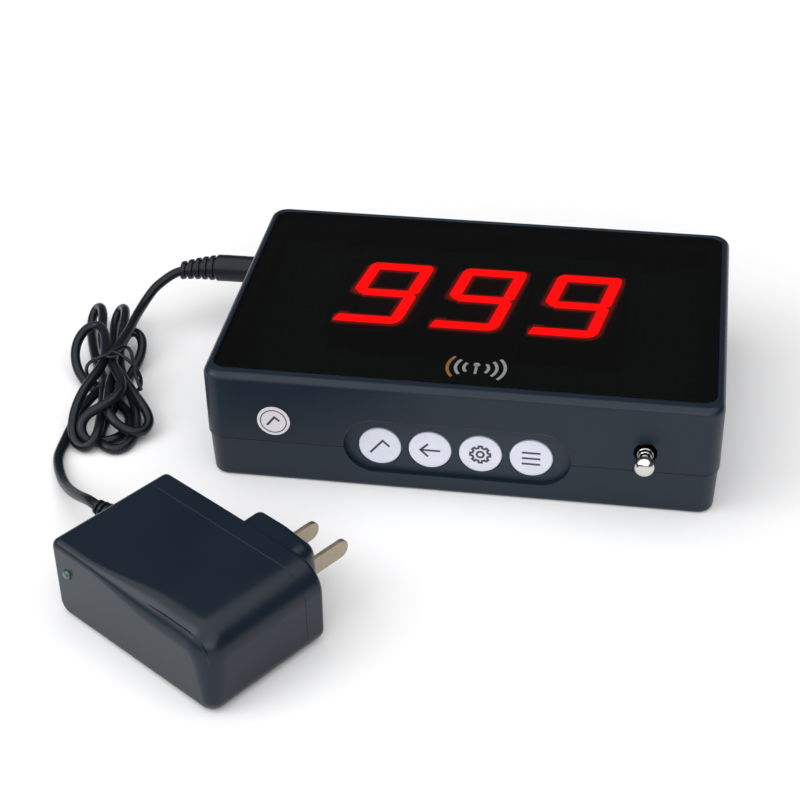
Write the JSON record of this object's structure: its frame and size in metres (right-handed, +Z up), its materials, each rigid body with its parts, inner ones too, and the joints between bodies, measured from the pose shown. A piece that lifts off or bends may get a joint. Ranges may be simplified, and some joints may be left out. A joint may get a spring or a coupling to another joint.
{
  "type": "wireless call display",
  "caption": "Flat table-top receiver that shows a three-digit call number behind a dark window, with keys, telescopic aerial and plug-in power supply.",
  "frame": {"origin": "centre of the flat back cover, which rests on the table", "axes": "+X to the right along the box's long side, seen from the keys; +Y away from the wall with the keys and aerial; +Z up, out through the window"},
  "size_m": [0.2363, 0.2233, 0.041],
  "materials": {
    "case_abs": "satin moulded ABS",
    "adapter_abs": "fine moulded texture",
    "smoked_acrylic": "polished smoked acrylic",
    "lit_segment": "lit diffuser",
    "housing_black": "matt moulded",
    "laminate": "solder-masked laminate",
    "keypad_panel": "textured film",
    "key_white": "printed white key",
    "plunger": "moulded",
    "sticker_paper": "matt printed film",
    "aerial_chrome": "bright plated tube",
    "nickel": "nickel-plated brass",
    "screw_steel": "zinc-plated steel",
    "soft_pvc": "matt flexible PVC",
    "capacitor_sleeve": "shrink sleeve",
    "winding_tape": "polyester tape",
    "green_lamp": "tinted epoxy",
    "module_can": "tinned steel can"
  },
  "bodies": {
    "case": {"upper_shell": "case_abs", "lower_shell": "case_abs", "display_window": "smoked_acrylic", "digit_1_housing": "housing_black", "digit_1_segments": "lit_segment", "digit_2_housing": "housing_black", "digit_2_segments": "lit_segment", "digit_3_housing": "housing_black", "digit_3_segments": "lit_segment", "main_board": "laminate", "key_board": "laminate", "controller_chip": "housing_black", "power_jack": "housing_black", "aerial_bracket": "housing_black", "receiver_module": "module_can", "power_capacitor": "capacitor_sleeve", "keypad_panel": "keypad_panel", "sounder": "keypad_panel", "enter_switch": "housing_black", "move_switch": "housing_black", "set_switch": "housing_black", "function_switch": "housing_black", "inspection_sticker": "sticker_paper", "aerial_outer_tube": "aerial_chrome", "power_jack_pin": "nickel", "case_screw_1": "screw_steel", "case_screw_2": "screw_steel", "case_screw_3": "screw_steel", "case_screw_4": "screw_steel"},
    "enter_key": {"enter_key": "key_white", "enter_plunger": "plunger"},
    "move_key": {"move_key": "key_white", "move_plunger": "plunger"},
    "set_key": {"set_key": "key_white", "set_plunger": "plunger"},
    "function_key": {"function_key": "key_white", "function_plunger": "plunger"},
    "aerial_second": {"aerial_section_2": "aerial_chrome"},
    "aerial_third": {"aerial_section_3": "aerial_chrome"},
    "aerial_rod": {"aerial_rod_and_tip": "aerial_chrome"},
    "power_supply": {"plug_body": "soft_pvc", "plug_barrel": "nickel", "cord_from_plug": "soft_pvc", "cord_hank": "soft_pvc", "cord_tie": "housing_black", "cord_to_adapter": "soft_pvc", "adapter_strain_relief": "soft_pvc", "adapter_body": "adapter_abs", "adapter_cover": "adapter_abs", "adapter_led": "green_lamp", "adapter_board": "laminate", "adapter_transformer": "winding_tape", "adapter_capacitor": "capacitor_sleeve", "plug_blade_1": "nickel", "plug_blade_2": "nickel"}
  },
  "joints": [
    {"name": "enter_key_press", "type": "slide", "parent": "case", "child": "enter_key", "axis": [0, 1, 0], "range_m": [0, 0.0005], "stiffness_N_per_m": 2000},
    {"name": "move_key_press", "type": "slide", "parent": "case", "child": "move_key", "axis": [0, 1, 0], "range_m": [0, 0.0005], "stiffness_N_per_m": 2000},
    {"name": "set_key_press", "type": "slide", "parent": "case", "child": "set_key", "axis": [0, 1, 0], "range_m": [0, 0.0005], "stiffness_N_per_m": 2000},
    {"name": "function_key_press", "type": "slide", "parent": "case", "child": "function_key", "axis": [0, 1, 0], "range_m": [0, 0.0005], "stiffness_N_per_m": 2000},
    {"name": "aerial_slide_2", "type": "slide", "parent": "case", "child": "aerial_second", "axis": [0, -1, 0], "range_m": [0, 0.08]},
    {"name": "aerial_slide_3", "type": "slide", "parent": "aerial_second", "child": "aerial_third", "axis": [0, -1, 0], "range_m": [0, 0.08]},
    {"name": "aerial_slide_4", "type": "slide", "parent": "aerial_third", "child": "aerial_rod", "axis": [0, -1, 0], "range_m": [0, 0.08]},
    {"name": "plug_pull", "type": "slide", "parent": "case", "child": "power_supply", "axis": [-1, 0, 0], "range_m": [0, 0.012]}
  ]
}
